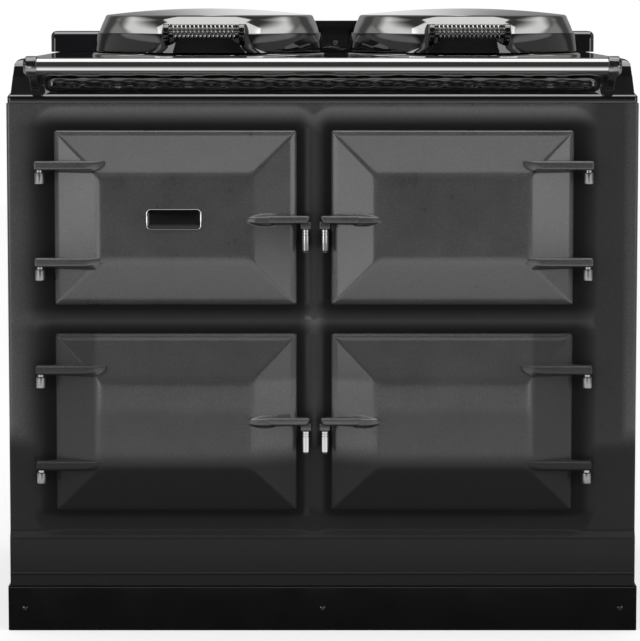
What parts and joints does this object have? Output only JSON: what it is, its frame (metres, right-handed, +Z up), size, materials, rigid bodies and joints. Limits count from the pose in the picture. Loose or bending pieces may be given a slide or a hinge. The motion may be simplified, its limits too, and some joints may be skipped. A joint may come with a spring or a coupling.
{
  "type": "cast iron range cooker",
  "caption": "Cast iron heat-storage range cooker with pin-hinged oven doors, round hotplates under sprung-handle lids, and a chrome handrail.",
  "frame": {"origin": "middle of the cooker's box, on the floor", "axes": "+X to the right seen from the front, +Y to the back, +Z up; the doors face -Y"},
  "size_m": [0.993, 0.761, 0.9796],
  "materials": {
    "charcoal_enamel": "gloss pewter-grey enamel on cast iron with a fine speckle",
    "black_enamel": "gloss black enamel",
    "chrome": "polished",
    "dark_chrome": "polished dark nickel",
    "steel": "satin",
    "cast_iron": "machined and seasoned",
    "aluminium_pan": "bright pressed",
    "black_plastic": "satin",
    "mineral_wool": "fibrous",
    "rope_seal": "braided glass rope"
  },
  "bodies": {
    "cooker": {"base_frame": "cast_iron", "levelling_feet": "steel", "plinth": "black_enamel", "plinth_screws": "steel", "front_plate": "charcoal_enamel", "side_panel_left": "black_enamel", "side_panel_right": "black_enamel", "back_panel": "black_enamel", "cable_gland": "black_plastic", "insulation": "mineral_wool", "top_plate": "black_enamel", "rear_upstand": "black_enamel", "vent_box": "black_enamel", "boiling_plate": "cast_iron", "simmering_plate": "cast_iron", "hotplate_elements": "steel", "hotplate_rings": "chrome", "roasting_oven": "cast_iron", "simmering_oven": "cast_iron", "baking_oven": "cast_iron", "control_box": "steel", "control_panel": "black_enamel", "thermostats": "steel", "handrail": "chrome", "rail_brackets": "dark_chrome", "hinge_brackets": "steel", "hinge_pins": "steel", "catch_keepers": "black_enamel", "door_seals": "rope_seal", "lid_hinge_brackets": "black_enamel", "lid_hinge_pins": "steel"},
    "control_door_leaf": {"control_door": "charcoal_enamel", "control_door_pack": "aluminium_pan"},
    "roasting_door_leaf": {"roasting_door": "charcoal_enamel", "roasting_door_pack": "aluminium_pan"},
    "baking_door_leaf": {"baking_door": "charcoal_enamel", "baking_door_pack": "aluminium_pan"},
    "simmering_door_leaf": {"simmering_door": "charcoal_enamel", "simmering_door_pack": "aluminium_pan"},
    "control_door_latch": {"control_door_roller": "chrome"},
    "roasting_door_latch": {"roasting_door_roller": "chrome"},
    "baking_door_latch": {"baking_door_roller": "chrome"},
    "simmering_door_latch": {"simmering_door_roller": "chrome"},
    "left_lid": {"left_lid_shell": "chrome", "left_lid_base": "black_enamel", "left_lid_liner": "aluminium_pan", "left_handle_rod": "steel", "left_handle_coil": "chrome"},
    "right_lid": {"right_lid_shell": "chrome", "right_lid_base": "black_enamel", "right_lid_liner": "aluminium_pan", "right_handle_rod": "steel", "right_handle_coil": "chrome"},
    "left_knob": {"knob_left": "black_plastic"},
    "middle_knob": {"knob_middle": "black_plastic"},
    "right_knob": {"knob_right": "black_plastic"},
    "roasting_shelf_grid": {"roasting_shelf": "steel"},
    "simmering_shelf_grid": {"simmering_shelf": "steel"},
    "baking_shelf_grid": {"baking_shelf": "steel"}
  },
  "joints": [
    {"name": "control_door_hinge", "type": "hinge", "parent": "cooker", "child": "control_door_leaf", "pos_m": [-0.4405, -0.3375, 0.654], "axis": [0, 0, -1], "range_deg": [0, 115]},
    {"name": "control_roller_spin", "type": "hinge", "parent": "control_door_leaf", "child": "control_door_latch", "pos_m": [-0.026, -0.3375, 0.6207], "axis": [0, 0, 1], "continuous": true},
    {"name": "roasting_door_hinge", "type": "hinge", "parent": "cooker", "child": "roasting_door_leaf", "pos_m": [0.414, -0.3375, 0.654], "axis": [0, 0, 1], "range_deg": [0, 115]},
    {"name": "roasting_roller_spin", "type": "hinge", "parent": "roasting_door_leaf", "child": "roasting_door_latch", "pos_m": [0.0035, -0.3375, 0.6207], "axis": [0, 0, 1], "continuous": true},
    {"name": "baking_door_hinge", "type": "hinge", "parent": "cooker", "child": "baking_door_leaf", "pos_m": [-0.4405, -0.3375, 0.3315], "axis": [0, 0, -1], "range_deg": [0, 115]},
    {"name": "baking_roller_spin", "type": "hinge", "parent": "baking_door_leaf", "child": "baking_door_latch", "pos_m": [-0.026, -0.3375, 0.3037], "axis": [0, 0, 1], "continuous": true},
    {"name": "simmering_door_hinge", "type": "hinge", "parent": "cooker", "child": "simmering_door_leaf", "pos_m": [0.414, -0.3375, 0.3315], "axis": [0, 0, 1], "range_deg": [0, 115]},
    {"name": "simmering_roller_spin", "type": "hinge", "parent": "simmering_door_leaf", "child": "simmering_door_latch", "pos_m": [0.0035, -0.3375, 0.3037], "axis": [0, 0, 1], "continuous": true},
    {"name": "left_lid_hinge", "type": "hinge", "parent": "cooker", "child": "left_lid", "pos_m": [-0.189, 0.2145, 0.935], "axis": [-1, 0, 0], "range_deg": [0, 90]},
    {"name": "right_lid_hinge", "type": "hinge", "parent": "cooker", "child": "right_lid", "pos_m": [0.2345, 0.2145, 0.935], "axis": [-1, 0, 0], "range_deg": [0, 90]},
    {"name": "left_knob_turn", "type": "hinge", "parent": "cooker", "child": "left_knob", "pos_m": [-0.3295, -0.2, 0.674], "axis": [0, -1, 0], "range_deg": [0, 270]},
    {"name": "middle_knob_turn", "type": "hinge", "parent": "cooker", "child": "middle_knob", "pos_m": [-0.2295, -0.2, 0.674], "axis": [0, -1, 0], "range_deg": [0, 270]},
    {"name": "right_knob_turn", "type": "hinge", "parent": "cooker", "child": "right_knob", "pos_m": [-0.1295, -0.2, 0.674], "axis": [0, -1, 0], "range_deg": [0, 270]},
    {"name": "roasting_shelf_slide", "type": "slide", "parent": "cooker", "child": "roasting_shelf_grid", "axis": [0, -1, 0], "range_m": [0, 0.028]},
    {"name": "simmering_shelf_slide", "type": "slide", "parent": "cooker", "child": "simmering_shelf_grid", "axis": [0, -1, 0], "range_m": [0, 0.028]},
    {"name": "baking_shelf_slide", "type": "slide", "parent": "cooker", "child": "baking_shelf_grid", "axis": [0, -1, 0], "range_m": [0, 0.028]}
  ]
}
